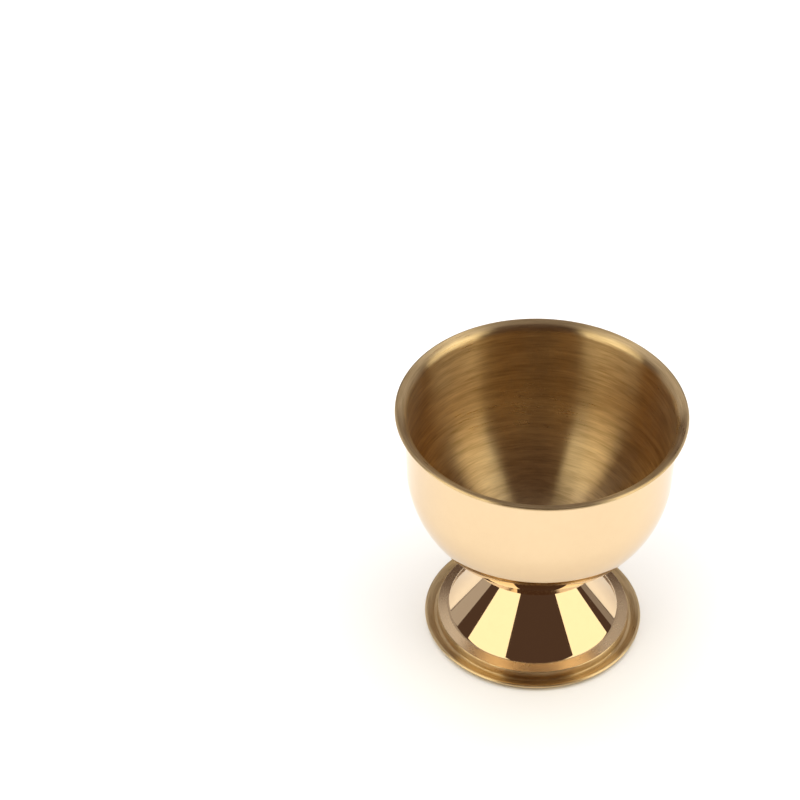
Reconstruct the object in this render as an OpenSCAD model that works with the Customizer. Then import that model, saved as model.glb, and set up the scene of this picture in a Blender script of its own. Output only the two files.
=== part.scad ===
// Egg cup of pressed sheet metal, gold finish, standing on the plane z = 0.
// A bowl with a turned-out lip sits in a dished collar, and the collar stands on a hollow flared foot.
// The foot ends in a polished ring, a wall down to a level land, and a brim that rises outward.
// Sizes are millimetres, and the axis of the cup is the Z axis.

/* [Bowl] */
// Outer diameter of the lip
lip_d = 50; // [49:0.5:54]
// Height of the bowl, from its underside to the top of the lip
bowl_h = 31.9; // [28:0.1:38]
// Width of the lip, out from the outside of the wall
lip_w = 1.5; // [1.2:0.1:2.5]
// Lean of the wall outward from the vertical, in degrees
wall_draft = 2.5; // [0.5:0.5:8]
// Radius of the belly, on the outside, between the wall and the small level bottom
belly_round = 20; // [15:0.5:21]
// Radius of the bend under the lip, on the outside
lip_bend = 1; // [0.4:0.1:1.6]
// Angle at which the lip rises outward, in degrees
lip_rise = 20; // [5:1:40]
// Thickness of the bowl's sheet
bowl_sheet = 0.6; // [0.4:0.1:0.8]

/* [Collar] */
// Height from the top of the foot to the underside of the bowl
bowl_lift = 3.6; // [3.4:0.1:5]
// Distance in to the collar's lower edge from where the bowl's wall, drawn on, meets the level of its bottom
collar_inset = 9.25; // [8:0.05:10.5]
// Height of that edge above the top of the foot
collar_edge_h = 4.2; // [3.2:0.1:5]
// Slope of the collar's wall above the horizontal, in degrees
collar_wall_slope = 61; // [55:1:75]
// Radius of the bend at the lower edge
collar_edge_round = 0.6; // [0.2:0.1:1.2]
// Widening of the collar's stub on each side, from the neck up to the collar's floor
stub_flare = 0.8; // [0.4:0.1:1.4]
// Height of the floor above the top of the foot, at the stub
floor_h = 2.2; // [1.6:0.1:2.4]
// Radius of the bends at the stub
stub_round = 0.5; // [0.2:0.1:0.7]
// Thickness of the collar's sheet
collar_sheet = 0.6; // [0.4:0.1:0.8]

/* [Foot] */
// Height of the foot
foot_h = 13; // [11:0.5:17]
// Outer diameter of the brim
brim_d = 38.8; // [36:0.2:44]
// Width of the brim, from its outer edge in to the level land that rests on the table
brim_w = 1.7; // [1.4:0.1:3]
// Angle at which the brim rises outward, in degrees
brim_rise = 30; // [5:1:35]
// Radius of the bend between the land and the brim
brim_bend = 0.4; // [0.2:0.1:1]
// Width of the land, from the brim in to the wall under the ring
land_w = 0.6; // [0.5:0.05:1.5]
// Height of the wall between the land and the polished ring
step_h = 1.8; // [1:0.1:2.4]
// Radius of the bend at the foot of the wall
step_round = 0.3; // [0.1:0.05:0.5]
// Radius of the bend at the top of the wall, on the outside
ring_edge_round = 0.2; // [0.1:0.05:0.5]
// Width of the polished ring
ring_w = 1.9; // [1.4:0.1:3]
// Height that the ring gains on its way in to the cone
ring_rise = 0.5; // [0.2:0.1:1]
// Radius of the curve between the cone and the ring
cone_foot_round = 0.9; // [0.3:0.1:1.5]
// Outer diameter of the neck, at the top of the foot and of the stub on it
neck_d = 13.6; // [12.4:0.2:15]
// Radius of the bend round the neck
neck_round = 0.5; // [0.2:0.1:0.8]
// Thickness of the foot's sheet
foot_sheet = 0.6; // [0.4:0.1:0.8]

/* [Hidden] */
$fn = 120;

// Largest sweep of one chord in a bend, in degrees
chord_sweep = 4;

// Share of a straight run that the bends at its two ends may take between them
run_share = 0.99;

// Directions in the plane of an outline, where a point is [radius, height]
function unit(v) = v / norm(v);
function left_of(v) = [-v[1], v[0]];
function turned_by(v, a) = [v[0] * cos(a) - v[1] * sin(a), v[0] * sin(a) + v[1] * cos(a)];
function turn(a, b) = atan2(a[0] * b[1] - a[1] * b[0], a * b);

// A line of corners is a list of [point, bend radius], and the two ends aren't bent
function run(corners, i) = corners[i + 1][0] - corners[i][0];
function is_inner(corners, i) = i > 0 && i < len(corners) - 1;
function turn_at(corners, i) = is_inner(corners, i) ? turn(run(corners, i - 1), run(corners, i)) : 0;

// Length that a bend wants of each straight run beside it
function wanted(corners, i) = corners[i][1] * tan(abs(turn_at(corners, i)) / 2);

// Length that it gets where the bend at the other end of the run wants some too
function granted(mine, other, length) =
    mine + other > run_share * length ? run_share * length * mine / (mine + other) : mine;

// Points of the bend at one corner
function bend(corners, i) =
    let (
        angle = turn_at(corners, i),
        want = wanted(corners, i),
        run_in = run(corners, i - 1),
        run_out = run(corners, i),
        reach = min(
            granted(want, wanted(corners, i - 1), norm(run_in)),
            granted(want, wanted(corners, i + 1), norm(run_out))
        ),
        radius = reach / tan(abs(angle) / 2),
        side = sign(angle) * left_of(unit(run_in)),
        centre = corners[i][0] - reach * unit(run_in) + radius * side,
        chords = max(2, ceil(abs(angle) / chord_sweep))
    )
    [for (k = [0:chords]) centre - radius * turned_by(side, angle * k / chords)];

// Points along a line of corners, with the corners bent to their radius
function bent_line(corners) = [
    for (i = [0:len(corners) - 1])
        for (p = wanted(corners, i) > 0 ? bend(corners, i) : [corners[i][0]])
            p
];

// The same line on the other face of a sheet that lies to its left
function other_face(corners, sheet) = [
    for (i = [0:len(corners) - 1])
        let (
            run_in = run(corners, max(0, i - 1)),
            run_out = run(corners, min(i, len(corners) - 2)),
            angle = turn_at(corners, i),
            along = unit(unit(run_in) + unit(run_out))
        )
        [
            corners[i][0] + sheet / cos(angle / 2) * left_of(along),
            max(0, corners[i][1] - sign(angle) * sheet)
        ]
];

// Outline of a sheet whose outside follows the line of corners, with points round its last edge
function sheet_outline(corners, sheet, edge = []) =
    let (inside = bent_line(other_face(corners, sheet)))
    concat(bent_line(corners), edge, [for (i = [len(inside) - 1:-1:0]) inside[i]]);

// Half circle round the edge of a sheet, from the face on its right to the face on its left
function rounded_edge(middle, direction, sheet) = [
    for (a = [-90 + chord_sweep:chord_sweep:90 - chord_sweep])
        middle + sheet / 2 * turned_by(direction, a)
];

// Outside of the bowl, from the axis out to the lip, with heights above its underside
lip_out = [cos(lip_rise), sin(lip_rise)];
lip_middle = [lip_d / 2 - bowl_sheet / 2, bowl_h - bowl_sheet / 2];
lip_end = lip_middle - bowl_sheet / 2 * left_of(lip_out);
wall_top_r = lip_d / 2 - lip_w;
wall_top = [wall_top_r, lip_end[1] - (lip_end[0] - wall_top_r) * tan(lip_rise)];
belly = [wall_top_r - wall_top[1] * tan(wall_draft), 0];
bowl_corners = [
    [[0, 0], 0],
    [belly, belly_round],
    [wall_top, lip_bend],
    [lip_end, 0]
];

// Outside of the collar, from the axis out, with heights above the top of the foot.
// Its wall is drawn on past the bowl's underside, where the bowl then cuts it to fit.
collar_edge = [belly[0] - collar_inset, collar_edge_h];
collar_reach_h = bowl_lift + collar_inset;
collar_reach_r = collar_edge[0] + (collar_reach_h - collar_edge_h) / tan(collar_wall_slope);
collar_corners = [
    [[0, 0], 0],
    [[neck_d / 2, 0], stub_round],
    [[neck_d / 2 + stub_flare, floor_h], stub_round],
    [collar_edge, collar_edge_round],
    [[collar_reach_r, collar_reach_h], 0]
];

// Outside of the foot, from the brim's edge in to the axis.
// The sheet of the land lies on the table.
brim_out = [cos(brim_rise), sin(brim_rise)];
brim_start = [brim_d / 2 - brim_w, foot_sheet];
brim_end_r = brim_d / 2 - foot_sheet / 2 * (1 + sin(brim_rise));
brim_end = [brim_end_r, foot_sheet + (brim_end_r - brim_start[0]) * tan(brim_rise)];
brim_middle = brim_end - foot_sheet / 2 * left_of(brim_out);
ring_edge = brim_start + [-land_w, step_h];
foot_corners = [
    [brim_end, 0],
    [brim_start, brim_bend],
    [brim_start - [land_w, 0], step_round],
    [ring_edge, ring_edge_round],
    [ring_edge + [-ring_w, ring_rise], cone_foot_round],
    [[neck_d / 2, foot_h], neck_round],
    [[0, foot_h], 0]
];

// Everything within the outside of the bowl, the egg's room too
module bowl_body() {
    rotate_extrude() polygon(concat(bent_line(bowl_corners), [[0, lip_end[1]]]));
}

module bowl() {
    lip_edge = rounded_edge(lip_middle, lip_out, bowl_sheet);
    color("gold")
        translate([0, 0, foot_h + bowl_lift])
            rotate_extrude() polygon(sheet_outline(bowl_corners, bowl_sheet, lip_edge));
}

module collar() {
    color("darkgoldenrod")
        translate([0, 0, foot_h])
            difference() {
                rotate_extrude() polygon(sheet_outline(collar_corners, collar_sheet));
                translate([0, 0, bowl_lift]) bowl_body();
            }
}

module foot() {
    brim_edge = rounded_edge(brim_middle, brim_out, foot_sheet);
    color("goldenrod")
        rotate_extrude() polygon(concat(brim_edge, sheet_outline(foot_corners, foot_sheet)));
}

bowl();
collar();
foot();
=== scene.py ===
"""Egg cup of pressed sheet metal with a gold finish, on a pale floor in soft studio light."""

import logging
import math
from dataclasses import dataclass
from enum import Enum
from typing import ClassVar

import bmesh
import bpy
from mathutils import Matrix, Vector


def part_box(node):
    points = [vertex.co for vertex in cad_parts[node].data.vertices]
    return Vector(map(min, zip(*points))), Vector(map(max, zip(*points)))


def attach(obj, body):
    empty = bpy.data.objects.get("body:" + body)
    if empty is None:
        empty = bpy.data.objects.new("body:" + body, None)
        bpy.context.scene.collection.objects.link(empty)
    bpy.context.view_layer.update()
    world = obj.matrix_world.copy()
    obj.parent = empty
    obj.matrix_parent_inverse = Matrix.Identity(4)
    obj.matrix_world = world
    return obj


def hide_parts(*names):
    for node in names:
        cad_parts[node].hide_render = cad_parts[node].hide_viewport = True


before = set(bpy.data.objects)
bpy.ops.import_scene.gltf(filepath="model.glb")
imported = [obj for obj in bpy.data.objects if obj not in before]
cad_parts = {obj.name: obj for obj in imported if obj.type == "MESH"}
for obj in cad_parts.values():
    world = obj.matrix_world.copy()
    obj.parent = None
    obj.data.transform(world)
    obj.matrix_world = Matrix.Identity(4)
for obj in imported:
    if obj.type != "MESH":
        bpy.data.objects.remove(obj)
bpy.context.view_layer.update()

log = logging.getLogger("egg_cup")

MM = 0.001
REST_BODY = "root"

Colour = tuple[float, float, float]
Node = bpy.types.Node
Socket = bpy.types.NodeSocket


class Polish(Enum):
    """How a stretch of sheet is finished, as the value that its profile carries."""

    MIRROR = 0.0
    SOFT = 0.5
    SATIN = 1.0


# Profiles of bent sheet


@dataclass(frozen=True)
class Corner:
    """A corner of a sheet's profile, and the radius that the sheet is bent to there."""

    r: float
    z: float
    bend: float = 0.0


@dataclass(frozen=True)
class Station:
    """A point of a finished profile, with the polish of the sheet there."""

    r: float
    z: float
    polish: Polish


def unit(v: Vector) -> Vector:
    """Return v at length one."""
    return v.normalized()


def left_of(v: Vector) -> Vector:
    """Return v turned a quarter turn to the left."""
    return Vector((-v.y, v.x))


def turn(a: Vector, b: Vector) -> float:
    """Return the signed angle from a to b, in radians."""
    return math.atan2(a.x * b.y - a.y * b.x, a.dot(b))


@dataclass
class BentLine:
    """A line of corners in the plane of a profile, bent at each corner."""

    corners: list[Corner]
    chord_sweep: float = math.radians(3)
    chord_length: float = 0.5 * MM
    run_share: float = 0.99
    run_step: float = 1.2 * MM
    support_shares: tuple[float, ...] = (0.02, 0.08, 0.25)

    def at(self, i: int) -> Vector:
        """Return corner i as a vector."""
        return Vector((self.corners[i].r, self.corners[i].z))

    def run(self, i: int) -> Vector:
        """Return the straight run from corner i to the next."""
        return self.at(i + 1) - self.at(i)

    def turn_at(self, i: int) -> float:
        """Return the turn of the line at a corner, which is none at its two ends.

        Args:
            i: The corner.

        Returns:
            The signed angle, in radians.
        """
        if 0 < i < len(self.corners) - 1:
            return turn(self.run(i - 1), self.run(i))
        return 0.0

    def wanted(self, i: int) -> float:
        """Return the length that the bend at corner i wants of each run beside it."""
        return self.corners[i].bend * math.tan(abs(self.turn_at(i)) / 2)

    def granted(self, i: int, other: int, length: float) -> float:
        """Share a run between the bends at its two ends.

        Args:
            i: The corner that asks.
            other: The corner at the run's other end.
            length: The run's length.

        Returns:
            The length that corner i gets of the run.
        """
        mine, rest, room = self.wanted(i), self.wanted(other), self.run_share * length
        return room * mine / (mine + rest) if mine + rest > room else mine

    def bend(self, i: int) -> list[Vector]:
        """Bend the line at a corner, as far as the runs beside it leave room.

        Args:
            i: The corner.

        Returns:
            The points of the bend in order.
        """
        angle = self.turn_at(i)
        run_in, run_out = self.run(i - 1), self.run(i)
        reach = min(self.granted(i, i - 1, run_in.length), self.granted(i, i + 1, run_out.length))
        radius = reach / math.tan(abs(angle) / 2)
        side = left_of(unit(run_in)) * math.copysign(1, angle)
        centre = self.at(i) - unit(run_in) * reach + side * radius
        by_sweep = abs(angle) / self.chord_sweep
        by_length = abs(angle) * radius / self.chord_length
        chords = max(2, math.ceil(max(by_sweep, by_length)))
        return [centre - Matrix.Rotation(angle * k / chords, 2) @ side * radius for k in range(chords + 1)]

    def points(self) -> list[Vector]:
        """Return the bent line, with points added along its straight runs.

        The added points crowd near the ends of each run, so that the smooth normals of a bend
        don't reach far into the flat beside it.

        Returns:
            The points in order.
        """
        bent: list[Vector] = []
        for i in range(len(self.corners)):
            bent += self.bend(i) if self.wanted(i) > 0 else [self.at(i)]
        line = [bent[0]]
        for a, b in zip(bent, bent[1:]):
            length = (b - a).length
            if length > self.run_step:
                steps = math.ceil(length / self.run_step)
                near = [s / steps for s in self.support_shares]
                shares = near + [k / steps for k in range(1, steps)] + [1 - s for s in reversed(near)]
                line += [a.lerp(b, s) for s in shares]
            line.append(b)
        return line

    def other_face(self, sheet: float) -> "BentLine":
        """Return the same line on the far face of a sheet that lies to the left of this one.

        Args:
            sheet: The sheet's thickness.

        Returns:
            The line of the other face.
        """
        corners = []
        for i in range(len(self.corners)):
            run_in = self.run(max(0, i - 1))
            run_out = self.run(min(i, len(self.corners) - 2))
            angle = self.turn_at(i)
            along = unit(unit(run_in) + unit(run_out))
            place = self.at(i) + left_of(along) * (sheet / math.cos(angle / 2))
            radius = max(0.0, self.corners[i].bend - math.copysign(1, angle) * sheet)
            corners.append(Corner(place.x, place.y, radius))
        return BentLine(corners)

    def shortened(self, length: float) -> "BentLine":
        """Return the line with its last run shortened by a length."""
        end = self.at(-1) - unit(self.run(len(self.corners) - 2)) * length
        return BentLine([*self.corners[:-1], Corner(end.x, end.y)])


def stations(points: list[Vector], polish: Polish) -> list[Station]:
    """Return the points as stations that all have one polish."""
    return [Station(max(p.x, 0.0), p.y, polish) for p in points]


def rounded_edge(middle: Vector, direction: Vector, sheet: float, chords: int = 16) -> list[Vector]:
    """Return the half circle round the cut edge of a sheet.

    Args:
        middle: The middle of the sheet where its edge starts to round.
        direction: The way the sheet ends, at length one.
        sheet: The sheet's thickness.
        chords: The number of chords in the half circle.

    Returns:
        The points between the sheet's two faces, without those on the faces.
    """
    sweeps = [math.pi * (k / chords - 0.5) for k in range(1, chords)]
    return [middle + Matrix.Rotation(s, 2) @ direction * (sheet / 2) for s in sweeps]


# Geometry nodes that spin a profile round the axis of the cup


class NodeWork:
    """Short words for adding nodes to a tree and linking them."""

    def __init__(self, tree: bpy.types.NodeTree) -> None:
        """Keep the tree that nodes are added to."""
        self.tree = tree

    def add(self, kind: str, **settings: object) -> Node:
        """Add a node and set its properties.

        Args:
            kind: The node's type.
            **settings: The properties to set, by name.

        Returns:
            The new node.
        """
        node = self.tree.nodes.new(kind)
        for name, value in settings.items():
            setattr(node, name, value)
        return node

    def feed(self, node: Node, values: dict[str | int, object]) -> Node:
        """Fill a node's inputs, by name or number, with links from sockets or with values.

        Args:
            node: The node to fill.
            values: The input's name or number, and a socket or a plain value.

        Returns:
            The same node.
        """
        for key, value in values.items():
            if isinstance(value, bpy.types.NodeSocket):
                self.tree.links.new(value, node.inputs[key])
            else:
                node.inputs[key].default_value = value
        return node

    def math(self, operation: str, *terms: Socket | float) -> Socket:
        """Return the result of a math node on the given terms."""
        node = self.add("ShaderNodeMath", operation=operation)
        return self.feed(node, dict(enumerate(terms))).outputs[0]

    def combine(self, x: Socket | float, y: Socket | float, z: Socket | float) -> Socket:
        """Return a vector made of three numbers."""
        return self.feed(self.add("ShaderNodeCombineXYZ"), {0: x, 1: y, 2: z}).outputs[0]


@dataclass(frozen=True)
class SpunSheet:
    """A sheet-metal part that is round about the Z axis, spun from its closed profile."""

    name: str
    node: str
    slot: str
    profile: list[Station]
    mirror: bpy.types.Material
    satin: bpy.types.Material
    segments: int = 240
    weld: float = 0.0005 * MM
    crease: float = math.radians(40)

    TREE_NAME: ClassVar[str] = "spin_sheet"
    ALONG: ClassVar[str] = "along"
    TURN: ClassVar[str] = "turn"
    SATIN: ClassVar[str] = "satin"
    UV: ClassVar[str] = "round_and_along"
    SATIN_FROM: ClassVar[float] = 0.75

    @classmethod
    def tree(cls) -> bpy.types.NodeTree:
        """Return the node tree that spins a profile, built on its first use.

        The profile comes in as a row of points in the XZ plane. A grid with a column for each
        point is bent round the axis, and its seam and its poles are welded.

        Returns:
            The node tree.
        """
        if cls.TREE_NAME in bpy.data.node_groups:
            return bpy.data.node_groups[cls.TREE_NAME]
        tree = bpy.data.node_groups.new(cls.TREE_NAME, "GeometryNodeTree")
        sockets = (
            ("Profile", "INPUT", "NodeSocketGeometry"),
            ("Segments", "INPUT", "NodeSocketInt"),
            ("Weld Distance", "INPUT", "NodeSocketFloat"),
            ("Mirror Finish", "INPUT", "NodeSocketMaterial"),
            ("Satin Finish", "INPUT", "NodeSocketMaterial"),
            ("Sheet", "OUTPUT", "NodeSocketGeometry"),
        )
        for name, side, kind in sockets:
            tree.interface.new_socket(name=name, in_out=side, socket_type=kind)
        work = NodeWork(tree)
        given = work.add("NodeGroupInput").outputs
        result = work.add("NodeGroupOutput")

        count = work.add("GeometryNodeAttributeDomainSize", component="MESH")
        work.feed(count, {"Geometry": given["Profile"]})
        rows = work.math("ADD", given["Segments"], 1.0)
        grid = work.add("GeometryNodeMeshGrid")
        work.feed(grid, {"Vertices X": count.outputs["Point Count"], "Vertices Y": rows})

        index = work.add("GeometryNodeInputIndex").outputs[0]
        column = work.math("FLOOR", work.math("DIVIDE", index, rows))
        share = work.math("DIVIDE", work.math("MODULO", index, rows), given["Segments"])

        place = work.add("GeometryNodeInputPosition").outputs[0]
        spot = work.add("GeometryNodeSampleIndex", data_type="FLOAT_VECTOR", domain="POINT")
        work.feed(spot, {"Geometry": given["Profile"], "Value": place, "Index": column})
        spin = work.add("ShaderNodeVectorRotate", rotation_type="Z_AXIS")
        work.feed(spin, {"Vector": spot.outputs[0], "Angle": work.math("MULTIPLY", share, math.tau)})
        bent = work.add("GeometryNodeSetPosition")
        work.feed(bent, {"Geometry": grid.outputs["Mesh"], "Position": spin.outputs[0]})

        sheet = cls._stored(work, bent.outputs[0], cls.TURN, share)
        for name in (cls.ALONG, cls.SATIN):
            there = work.add("GeometryNodeInputNamedAttribute", data_type="FLOAT")
            work.feed(there, {"Name": name})
            taken = work.add("GeometryNodeSampleIndex", data_type="FLOAT", domain="POINT")
            work.feed(taken, {"Geometry": given["Profile"], "Value": there.outputs[0], "Index": column})
            sheet = cls._stored(work, sheet, name, taken.outputs[0])

        around = work.add("GeometryNodeInputNamedAttribute", data_type="FLOAT")
        work.feed(around, {"Name": cls.TURN})
        length = work.add("GeometryNodeInputNamedAttribute", data_type="FLOAT")
        work.feed(length, {"Name": cls.ALONG})
        uv = work.add("GeometryNodeStoreNamedAttribute", data_type="FLOAT2", domain="CORNER")
        map_place = work.combine(around.outputs[0], length.outputs[0], 0.0)
        work.feed(uv, {"Geometry": sheet, "Name": cls.UV, "Value": map_place})

        weld = work.add("GeometryNodeMergeByDistance")
        work.feed(weld, {"Geometry": uv.outputs[0], "Distance": given["Weld Distance"]})
        smooth = work.add("GeometryNodeSetShadeSmooth")
        work.feed(smooth, {"Geometry": weld.outputs[0]})
        real = work.add("GeometryNodeRealizeInstances")
        work.feed(real, {"Geometry": smooth.outputs[0]})
        satin = work.add("GeometryNodeInputNamedAttribute", data_type="FLOAT")
        work.feed(satin, {"Name": cls.SATIN})
        polished = work.add("GeometryNodeSetMaterial")
        work.feed(polished, {"Geometry": real.outputs[0], "Material": given["Mirror Finish"]})
        is_satin = work.math("GREATER_THAN", satin.outputs[0], cls.SATIN_FROM)
        brushed = work.add("GeometryNodeSetMaterial")
        satin_inputs = {"Geometry": polished.outputs[0], "Selection": is_satin}
        work.feed(brushed, satin_inputs | {"Material": given["Satin Finish"]})
        work.feed(result, {"Sheet": brushed.outputs[0]})
        return tree

    @staticmethod
    def _stored(work: NodeWork, geometry: Socket, name: str, value: Socket) -> Socket:
        """Return the geometry with a number stored on its points.

        Args:
            work: The tree's node work.
            geometry: The geometry to store on.
            name: The attribute's name.
            value: The number at each point.

        Returns:
            The geometry's socket.
        """
        store = work.add("GeometryNodeStoreNamedAttribute", data_type="FLOAT", domain="POINT")
        return work.feed(store, {"Geometry": geometry, "Name": name, "Value": value}).outputs[0]

    def profile_object(self) -> bpy.types.Object:
        """Lay the profile out as a row of points that carry its lengths and its polish.

        Returns:
            The row's object.
        """
        loop = [*self.profile, self.profile[0]]
        mesh = bpy.data.meshes.new(self.name)
        mesh.from_pydata([(s.r, 0, s.z) for s in loop], [(i, i + 1) for i in range(len(loop) - 1)], [])
        along, satin = (mesh.attributes.new(n, "FLOAT", "POINT") for n in (self.ALONG, self.SATIN))
        total = 0.0
        for i, s in enumerate(loop):
            if i:
                total += math.hypot(s.r - loop[i - 1].r, s.z - loop[i - 1].z)
            along.data[i].value = total
            satin.data[i].value = s.polish.value
        obj = bpy.data.objects.new(self.name, mesh)
        bpy.context.scene.collection.objects.link(obj)
        return obj

    def make(self) -> bpy.types.Object:
        """Spin the sheet, turn it into a plain mesh and hand it to the frame.

        Returns:
            The finished piece.
        """
        tree = self.tree()
        obj = self.profile_object()
        spin = obj.modifiers.new("spin", "NODES")
        spin.node_group = tree
        keys = {s.name: s.identifier for s in tree.interface.items_tree if s.in_out == "INPUT"}
        spin[keys["Segments"]] = self.segments
        spin[keys["Weld Distance"]] = self.weld
        spin[keys["Mirror Finish"]] = self.mirror
        spin[keys["Satin Finish"]] = self.satin

        ready = obj.evaluated_get(bpy.context.evaluated_depsgraph_get())
        mesh = bpy.data.meshes.new_from_object(ready)
        obj.modifiers.remove(spin)
        row, obj.data = obj.data, mesh
        bpy.data.meshes.remove(row)
        mesh.name = self.name

        shell = bmesh.new()
        shell.from_mesh(mesh)
        bmesh.ops.dissolve_degenerate(shell, edges=shell.edges, dist=self.weld)
        bmesh.ops.recalc_face_normals(shell, faces=shell.faces)
        shell.to_mesh(mesh)
        shell.free()
        mesh.shade_smooth()
        mesh.set_sharp_from_angle(angle=self.crease)

        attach(obj, REST_BODY)
        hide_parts(self.node)
        log.info("%s: %d faces", self.name, len(mesh.polygons))
        return obj


# Finishes


@dataclass(frozen=True)
class Grain:
    """A layer of noise that runs in rings round the axis.

    It has its cells in one radian round the axis and in a metre across the rings, a shift that
    sets it apart from other layers, and the number and strength of its finer layers.
    """

    around: float
    across: float
    shift: float = 0.0
    detail: float = 2.0
    roughness: float = 0.5


class Finish:
    """What every finish of the cup shares: a material with its own node work."""

    AXIS_GUARD: ClassVar[float] = 0.05 * MM

    def __init__(self, name: str) -> None:
        """Make an empty material with one metal shader.

        Args:
            name: The material's name.
        """
        self.material = bpy.data.materials.new(name)
        self.material.use_nodes = True
        self.work = NodeWork(self.material.node_tree)
        self.shader = self.material.node_tree.nodes["Principled BSDF"]
        self.shader.inputs["Metallic"].default_value = 1.0

    def rings(self, grain: Grain) -> Socket:
        """Return noise that runs in rings round the axis.

        Its place turns with the angle round the axis, and climbs with radius plus height, which
        grows steadily from the middle of the cup out to its lip.

        Args:
            grain: The layer of noise.

        Returns:
            The socket of the noise, from 0 to 1.
        """
        work = self.work
        spot = work.add("ShaderNodeTexCoord").outputs["Object"]
        axes = work.feed(work.add("ShaderNodeSeparateXYZ"), {0: spot}).outputs
        side = work.math("MULTIPLY", axes[0], axes[0])
        square = work.math("MULTIPLY_ADD", axes[1], axes[1], side)
        r = work.math("MAXIMUM", work.math("SQRT", square), self.AXIS_GUARD)
        x = work.math("MULTIPLY", work.math("DIVIDE", axes[0], r), grain.around)
        y = work.math("MULTIPLY", work.math("DIVIDE", axes[1], r), grain.around)
        climb = work.math("MULTIPLY", work.math("ADD", r, axes[2]), grain.across)
        place = work.combine(x, y, work.math("ADD", climb, grain.shift))
        return self.noise(place, detail=grain.detail, roughness=grain.roughness)

    def noise(
        self, place: Socket, scale: float = 1.0, detail: float = 2.0, roughness: float = 0.5
    ) -> Socket:
        """Return noise at a place.

        Args:
            place: The place.
            scale: The noise cells in a unit of the place.
            detail: The number of finer layers.
            roughness: The strength of each finer layer.

        Returns:
            The socket of the noise, from 0 to 1.
        """
        node = self.work.add("ShaderNodeTexNoise")
        inputs = {"Vector": place, "Scale": scale, "Detail": detail, "Roughness": roughness}
        return self.work.feed(node, inputs).outputs[0]

    def spread(self, value: Socket, low: float, high: float, to_low: float, to_high: float) -> Socket:
        """Return a value carried from one range to another, held within it."""
        node = self.work.add("ShaderNodeMapRange")
        return self.work.feed(node, {0: value, 1: low, 2: high, 3: to_low, 4: to_high}).outputs[0]

    def colour_between(self, share: Socket, first: Colour, second: Colour) -> Socket:
        """Return a colour mixed from two by a share."""
        node = self.work.add("ShaderNodeMixRGB")
        return self.work.feed(node, {0: share, 1: (*first, 1), 2: (*second, 1)}).outputs[0]

    def bump(self, height: Socket, strength: float, distance: float, below: Socket | None = None) -> Socket:
        """Return a normal disturbed by a height.

        Args:
            height: The height, from 0 to 1.
            strength: The share of the disturbance that is kept.
            distance: The real height of a full step, in metres.
            below: Another bump that this one lies on.

        Returns:
            The socket of the normal.
        """
        node = self.work.add("ShaderNodeBump")
        self.work.feed(node, {"Height": height, "Strength": strength, "Distance": distance})
        if below is not None:
            self.work.feed(node, {"Normal": below})
        return node.outputs[0]


@dataclass(frozen=True)
class BrushedGold:
    """Gold sheet brushed in rings on a lathe, as on the inside of the bowl.

    Fine and coarse rings shade it and lift its surface, and it is duller where it is worn.
    """

    name: str = "gold_brushed"
    colour: Colour = (0.86, 0.66, 0.38)
    deep_colour: Colour = (0.56, 0.40, 0.21)
    roughness: tuple[float, float] = (0.27, 0.36)
    anisotropy: float = 1.0
    anisotropy_turn: float = 0.25
    fine: Grain = Grain(around=5.0, across=2600.0, detail=3.0, roughness=0.6)
    coarse: Grain = Grain(around=2.0, across=700.0, shift=7.0)
    wear: Grain = Grain(around=1.5, across=60.0, shift=3.0)
    sum_range: tuple[float, float] = (0.7, 1.3)
    fine_height: float = 0.007 * MM
    fine_strength: float = 0.6
    coarse_height: float = 0.021 * MM
    coarse_strength: float = 0.5

    def material(self) -> bpy.types.Material:
        """Mix the finish from its rings and its wear.

        Returns:
            The finish as a material.
        """
        finish = Finish(self.name)
        fine, coarse, wear = (finish.rings(grain) for grain in (self.fine, self.coarse, self.wear))
        tone = finish.spread(finish.work.math("ADD", fine, coarse), *self.sum_range, 0.0, 1.0)
        dull = finish.spread(finish.work.math("ADD", wear, fine), *self.sum_range, *self.roughness)
        ridged = finish.bump(coarse, self.coarse_strength, self.coarse_height)
        tangent = finish.work.add("ShaderNodeTangent", direction_type="UV_MAP", uv_map=SpunSheet.UV)
        looks = {
            "Base Color": finish.colour_between(tone, self.deep_colour, self.colour),
            "Roughness": dull,
            "Anisotropic": self.anisotropy,
            "Anisotropic Rotation": self.anisotropy_turn,
            "Normal": finish.bump(fine, self.fine_strength, self.fine_height, ridged),
            "Tangent": tangent.outputs[0],
        }
        finish.work.feed(finish.shader, looks)
        return finish.material


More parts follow.
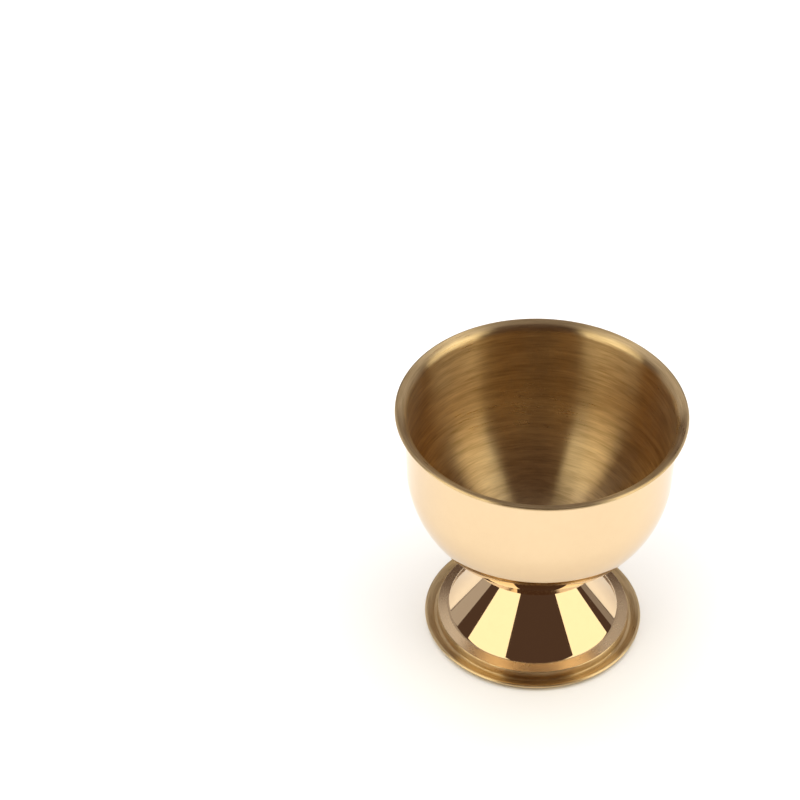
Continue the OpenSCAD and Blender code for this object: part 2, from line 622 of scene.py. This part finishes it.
@dataclass(frozen=True)
class PolishedGold:
    """Gold sheet polished to a mirror, with the faint waves and marks of handling.

    It is duller where the sheet's own polish value says so, as on the ring of the foot.
    """

    name: str = "gold_polished"
    colour: Colour = (0.79, 0.60, 0.38)
    deep_colour: Colour = (0.75, 0.56, 0.35)
    roughness: tuple[float, float] = (0.03, 0.06)
    satin_roughness: float = 0.45
    wave_scale: float = 90.0
    wave_detail: float = 1.0
    wave_height: float = 0.02 * MM
    wave_strength: float = 0.4
    haze_scale: float = 540.0
    haze_detail: float = 4.0
    haze_grain: float = 0.65
    haze_range: tuple[float, float] = (0.4, 0.75)
    marks: Grain = Grain(around=4.0, across=2200.0)
    mark_height: float = 0.0006 * MM
    mark_strength: float = 0.3

    def material(self) -> bpy.types.Material:
        """Mix the finish from its waves, its haze and its marks.

        Returns:
            The finish as a material.
        """
        finish = Finish(self.name)
        spot = finish.work.add("ShaderNodeTexCoord").outputs["Object"]
        waves = finish.noise(spot, self.wave_scale, self.wave_detail)
        haze = finish.noise(spot, self.haze_scale, self.haze_detail, self.haze_grain)
        polish = finish.work.add("ShaderNodeAttribute", attribute_name=SpunSheet.SATIN).outputs["Fac"]
        hazy = finish.spread(haze, *self.haze_range, *self.roughness)
        soft = finish.bump(waves, self.wave_strength, self.wave_height)
        marked = finish.bump(finish.rings(self.marks), self.mark_strength, self.mark_height, soft)
        looks = {
            "Base Color": finish.colour_between(haze, self.deep_colour, self.colour),
            "Roughness": finish.work.math("MULTIPLY_ADD", polish, self.satin_roughness, hazy),
            "Normal": marked,
        }
        finish.work.feed(finish.shader, looks)
        return finish.material


# The cup's three pressings


@dataclass(frozen=True)
class Bowl:
    """The bowl: a tapered wall, a belly round to its small level bottom, and a turned-out lip."""

    lip_w: float = 1.5 * MM
    wall_draft: float = math.radians(2.5)
    belly_round: float = 20 * MM
    lip_bend: float = 1 * MM
    lip_rise: float = math.radians(20)
    sheet: float = 0.6 * MM

    def profile(self) -> list[Station]:
        """Return the closed profile of the sheet, from the middle of the underside round to the inside.

        Returns:
            The profile.
        """
        low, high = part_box("bowl")
        lip_out = Vector((math.cos(self.lip_rise), math.sin(self.lip_rise)))
        lip_middle = Vector((high.x - self.sheet / 2, high.z - self.sheet / 2))
        lip_end = lip_middle - left_of(lip_out) * (self.sheet / 2)
        wall_r = high.x - self.lip_w
        wall_z = lip_end.y - (lip_end.x - wall_r) * math.tan(self.lip_rise)
        belly_r = wall_r - (wall_z - low.z) * math.tan(self.wall_draft)
        outside = BentLine(
            [
                Corner(0, low.z),
                Corner(belly_r, low.z, self.belly_round),
                Corner(wall_r, wall_z, self.lip_bend),
                Corner(lip_end.x, lip_end.y),
            ]
        )
        inside = outside.other_face(self.sheet).points()
        edge = rounded_edge(lip_middle, lip_out, self.sheet)
        return [
            *stations(outside.points(), Polish.MIRROR),
            *stations(edge, Polish.SATIN),
            *stations(inside[::-1], Polish.SATIN),
        ]

    def build(self, mirror: bpy.types.Material, satin: bpy.types.Material) -> bpy.types.Object:
        """Build and dress the bowl.

        Args:
            mirror: The finish of its outside.
            satin: The finish of its inside and lip.

        Returns:
            The finished piece.
        """
        return SpunSheet("bowl_shell", "bowl", "bowl_gold", self.profile(), mirror, satin).make()


@dataclass(frozen=True)
class Collar:
    """The collar: a dished seat under the bowl, with a short stub that stands on the foot."""

    rim_cut: float = 1.25 * MM
    edge_h: float = 4.2 * MM
    edge_round: float = 0.6 * MM
    wall_slope: float = math.radians(61)
    neck_r: float = 6.8 * MM
    stub_flare: float = 0.8 * MM
    floor_h: float = 2.2 * MM
    stub_round: float = 0.5 * MM
    sheet: float = 0.6 * MM

    def profile(self) -> list[Station]:
        """Return the closed profile of the sheet, from the middle of its floor round to the inside.

        The inner face stops short of the outer one, where the bowl's underside cuts it.

        Returns:
            The profile.
        """
        low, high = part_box("collar")
        edge_r = high.x - (high.z - low.z - self.edge_h) / math.tan(self.wall_slope)
        outside = BentLine(
            [
                Corner(0, low.z),
                Corner(self.neck_r, low.z, self.stub_round),
                Corner(self.neck_r + self.stub_flare, low.z + self.floor_h, self.stub_round),
                Corner(edge_r, low.z + self.edge_h, self.edge_round),
                Corner(high.x, high.z),
            ]
        )
        inside = outside.other_face(self.sheet).shortened(self.rim_cut).points()
        return stations([*outside.points(), *inside[::-1]], Polish.MIRROR)

    def build(self, mirror: bpy.types.Material, satin: bpy.types.Material) -> bpy.types.Object:
        """Build and dress the collar.

        Args:
            mirror: The finish of the whole collar.
            satin: The finish of no part of it.

        Returns:
            The finished piece.
        """
        return SpunSheet("collar_seat", "collar", "collar_gold", self.profile(), mirror, satin).make()


@dataclass(frozen=True)
class Foot:
    """The foot: a hollow cone, a polished ring, a wall down to a level land, and a satin brim."""

    brim_w: float = 1.7 * MM
    brim_rise: float = math.radians(30)
    brim_bend: float = 0.4 * MM
    land_w: float = 0.6 * MM
    step_h: float = 1.8 * MM
    step_round: float = 0.3 * MM
    ring_edge_round: float = 0.2 * MM
    ring_w: float = 1.9 * MM
    ring_rise: float = 0.5 * MM
    cone_round: float = 0.9 * MM
    neck_r: float = 6.8 * MM
    neck_round: float = 0.5 * MM
    sheet: float = 0.6 * MM

    def profile(self) -> list[Station]:
        """Return the closed profile of the sheet, from the brim's edge up to the neck and back inside.

        Returns:
            The profile.
        """
        low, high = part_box("foot")
        brim_out = Vector((math.cos(self.brim_rise), math.sin(self.brim_rise)))
        end_r = high.x - self.sheet / 2 * (1 + math.sin(self.brim_rise))
        brim_r, land_z = high.x - self.brim_w, low.z + self.sheet
        end = Vector((end_r, land_z + (end_r - brim_r) * math.tan(self.brim_rise)))
        ring_r, ring_z = brim_r - self.land_w, land_z + self.step_h
        outside = BentLine(
            [
                Corner(end.x, end.y),
                Corner(brim_r, land_z, self.brim_bend),
                Corner(ring_r, land_z, self.step_round),
                Corner(ring_r, ring_z, self.ring_edge_round),
                Corner(ring_r - self.ring_w, ring_z + self.ring_rise, self.cone_round),
                Corner(self.neck_r, high.z, self.neck_round),
                Corner(0, high.z),
            ]
        )
        inside = outside.other_face(self.sheet).points()
        edge = rounded_edge(end - left_of(brim_out) * (self.sheet / 2), brim_out, self.sheet)
        cone_r, wall_r = ring_r - self.ring_w, ring_r - self.ring_edge_round / 2
        seen = [Station(p.x, p.y, self.polish_at(p.x, cone_r, wall_r)) for p in outside.points()]
        return [*stations(edge, Polish.SATIN), *seen, *stations(inside[::-1], Polish.SATIN)]

    @staticmethod
    def polish_at(r: float, cone_r: float, wall_r: float) -> Polish:
        """Return the polish of the foot's outside at a radius.

        Args:
            r: The radius.
            cone_r: Where the cone ends and the ring starts.
            wall_r: Where the ring ends and the wall under it starts.

        Returns:
            The polish.
        """
        if r < cone_r:
            return Polish.MIRROR
        return Polish.SOFT if r < wall_r else Polish.SATIN

    def build(self, mirror: bpy.types.Material, satin: bpy.types.Material) -> bpy.types.Object:
        """Build and dress the foot.

        Args:
            mirror: The finish of its cone and ring.
            satin: The finish of its brim and its underside.

        Returns:
            The finished piece.
        """
        return SpunSheet("foot_cone", "foot", "foot_gold", self.profile(), mirror, satin).make()


# The studio


@dataclass(frozen=True)
class Softbox:
    """A rectangular light that stands or hangs near the cup and faces its axis.

    Its azimuth is counted from the front to the right, and its tilt from upright to face down,
    both in degrees.
    """

    name: str
    azimuth: float
    distance: float
    middle_z: float
    width: float
    height: float
    radiance: float
    tilt: float = 0.0
    in_reflections: bool = True
    tint: Colour = (1.0, 1.0, 1.0)

    def build(self) -> bpy.types.Object:
        """Set the light up.

        Returns:
            The light.
        """
        a, t = math.radians(self.azimuth), math.radians(self.tilt)
        out, up = Vector((math.sin(a), -math.cos(a), 0)), Vector((0, 0, 1))
        facing = -out * math.cos(t) - up * math.sin(t)
        lamp = bpy.data.lights.new(self.name, "AREA")
        lamp.shape = "RECTANGLE"
        lamp.size, lamp.size_y = self.width, self.height
        lamp.energy = self.radiance * math.pi * self.width * self.height
        lamp.color = self.tint
        obj = bpy.data.objects.new(self.name, lamp)
        obj.location = out * self.distance + up * self.middle_z
        obj.rotation_euler = facing.to_track_quat("-Z", "Y").to_euler()
        obj.visible_camera = False
        obj.visible_glossy = self.in_reflections
        bpy.context.scene.collection.objects.link(obj)
        return obj


@dataclass(frozen=True)
class Studio:
    """The pale floor, the soft lights and the camera."""

    floor_size: float = 4.0
    floor_colour: Colour = (0.90, 0.90, 0.90)
    floor_roughness: float = 0.7
    floor_shine: float = 0.2
    backdrop: Colour = (1.0, 1.0, 1.0)
    surround: Colour = (0.095, 0.058, 0.044)
    warm: Colour = (1.0, 0.95, 0.74)
    cool: Colour = (0.94, 0.97, 1.0)
    lens: float = 128.25
    sensor: float = 36.0
    camera_place: tuple[float, float, float] = (-24.085 * MM, -368.010 * MM, 362.323 * MM)
    camera_tilt: float = math.radians(40.272)
    camera_roll: float = math.radians(-0.264)

    def lights(self) -> list[Softbox]:
        """List the lights: warm softboxes, dim panels, low walls, and a wash for the floor.

        Returns:
            The lights, in the order in which they are set up.
        """
        softbox = dict(distance=0.75, middle_z=0.635, height=1.25, radiance=1.6, tint=self.warm)
        panel = dict(distance=0.60, middle_z=0.56, width=0.60, height=0.85, radiance=0.35, tilt=42)
        low_wall = dict(distance=0.72, middle_z=0.11, width=0.50, height=0.20)
        top = dict(distance=0.60, middle_z=0.90, width=0.80, height=0.60, radiance=0.7, tilt=55)
        wash = dict(distance=0.0, middle_z=1.60, width=2.40, height=2.40, radiance=2.3, tilt=90)
        return [
            Softbox("softbox_left", azimuth=-60.5, width=0.715, **softbox),
            Softbox("softbox_right", azimuth=74.5, width=0.684, **softbox),
            Softbox("panel_back_left", azimuth=-130, **panel),
            Softbox("panel_back_right", azimuth=130, **panel),
            Softbox("low_wall_left", azimuth=-124, radiance=0.45, **low_wall),
            Softbox("low_wall_right", azimuth=128, radiance=0.25, **low_wall),
            Softbox("panel_back_top", azimuth=180, **top),
            Softbox("floor_wash", azimuth=0, in_reflections=False, tint=self.cool, **wash),
        ]

    def build_world(self) -> None:
        """Set up surroundings that are pale to the eye and dim in the metal."""
        world = bpy.data.worlds.new("surround")
        world.use_nodes = True
        work = NodeWork(world.node_tree)
        seen = work.add("ShaderNodeLightPath").outputs["Is Camera Ray"]
        tint = work.add("ShaderNodeMixRGB")
        work.feed(tint, {0: seen, 1: (*self.surround, 1), 2: (*self.backdrop, 1)})
        work.feed(world.node_tree.nodes["Background"], {"Color": tint.outputs[0]})
        bpy.context.scene.world = world

    def build_floor(self) -> bpy.types.Object:
        """Lay the floor, which is no part of the object.

        Returns:
            The floor.
        """
        half = self.floor_size / 2
        corners = [(-half, -half, 0), (half, -half, 0), (half, half, 0), (-half, half, 0)]
        mesh = bpy.data.meshes.new("floor")
        mesh.from_pydata(corners, [], [(0, 1, 2, 3)])
        paint = bpy.data.materials.new("floor_paint")
        paint.use_nodes = True
        shader = paint.node_tree.nodes["Principled BSDF"].inputs
        shader["Base Color"].default_value = (*self.floor_colour, 1)
        shader["Roughness"].default_value = self.floor_roughness
        shader["Specular IOR Level"].default_value = self.floor_shine
        mesh.materials.append(paint)
        floor = bpy.data.objects.new("floor", mesh)
        bpy.context.scene.collection.objects.link(floor)
        return floor

    def build_camera(self) -> bpy.types.Object:
        """Set the camera up where the photograph was taken from.

        Returns:
            The camera.
        """
        ahead = Vector((0, math.cos(self.camera_tilt), -math.sin(self.camera_tilt)))
        level = Vector((1, 0, 0))
        down = ahead.cross(level)
        c, s = math.cos(self.camera_roll), math.sin(self.camera_roll)
        right, under = level * c + down * s, down * c - level * s
        place = Matrix((right, -under, -ahead)).transposed().to_4x4()
        place.translation = Vector(self.camera_place)
        data = bpy.data.cameras.new("camera")
        data.sensor_width, data.lens = self.sensor, self.lens
        camera = bpy.data.objects.new("camera", data)
        camera.matrix_world = place
        bpy.context.scene.collection.objects.link(camera)
        bpy.context.scene.camera = camera
        return camera

    def build(self) -> None:
        """Build the whole studio."""
        bpy.context.scene.view_settings.view_transform = "Standard"
        self.build_world()
        self.build_floor()
        self.build_camera()
        for light in self.lights():
            light.build()
            log.info("light %s", light.name)


def main() -> None:
    """Build the studio and the cup's pieces in order, and report each."""
    logging.basicConfig(level=logging.INFO, format="%(message)s")
    Studio().build()
    satin = BrushedGold().material()
    mirror = PolishedGold().material()
    for part in (Bowl(), Collar(), Foot()):
        piece = part.build(mirror, satin)
        log.info("%s stands for its node", piece.name)


if __name__ == "__main__":
    main()
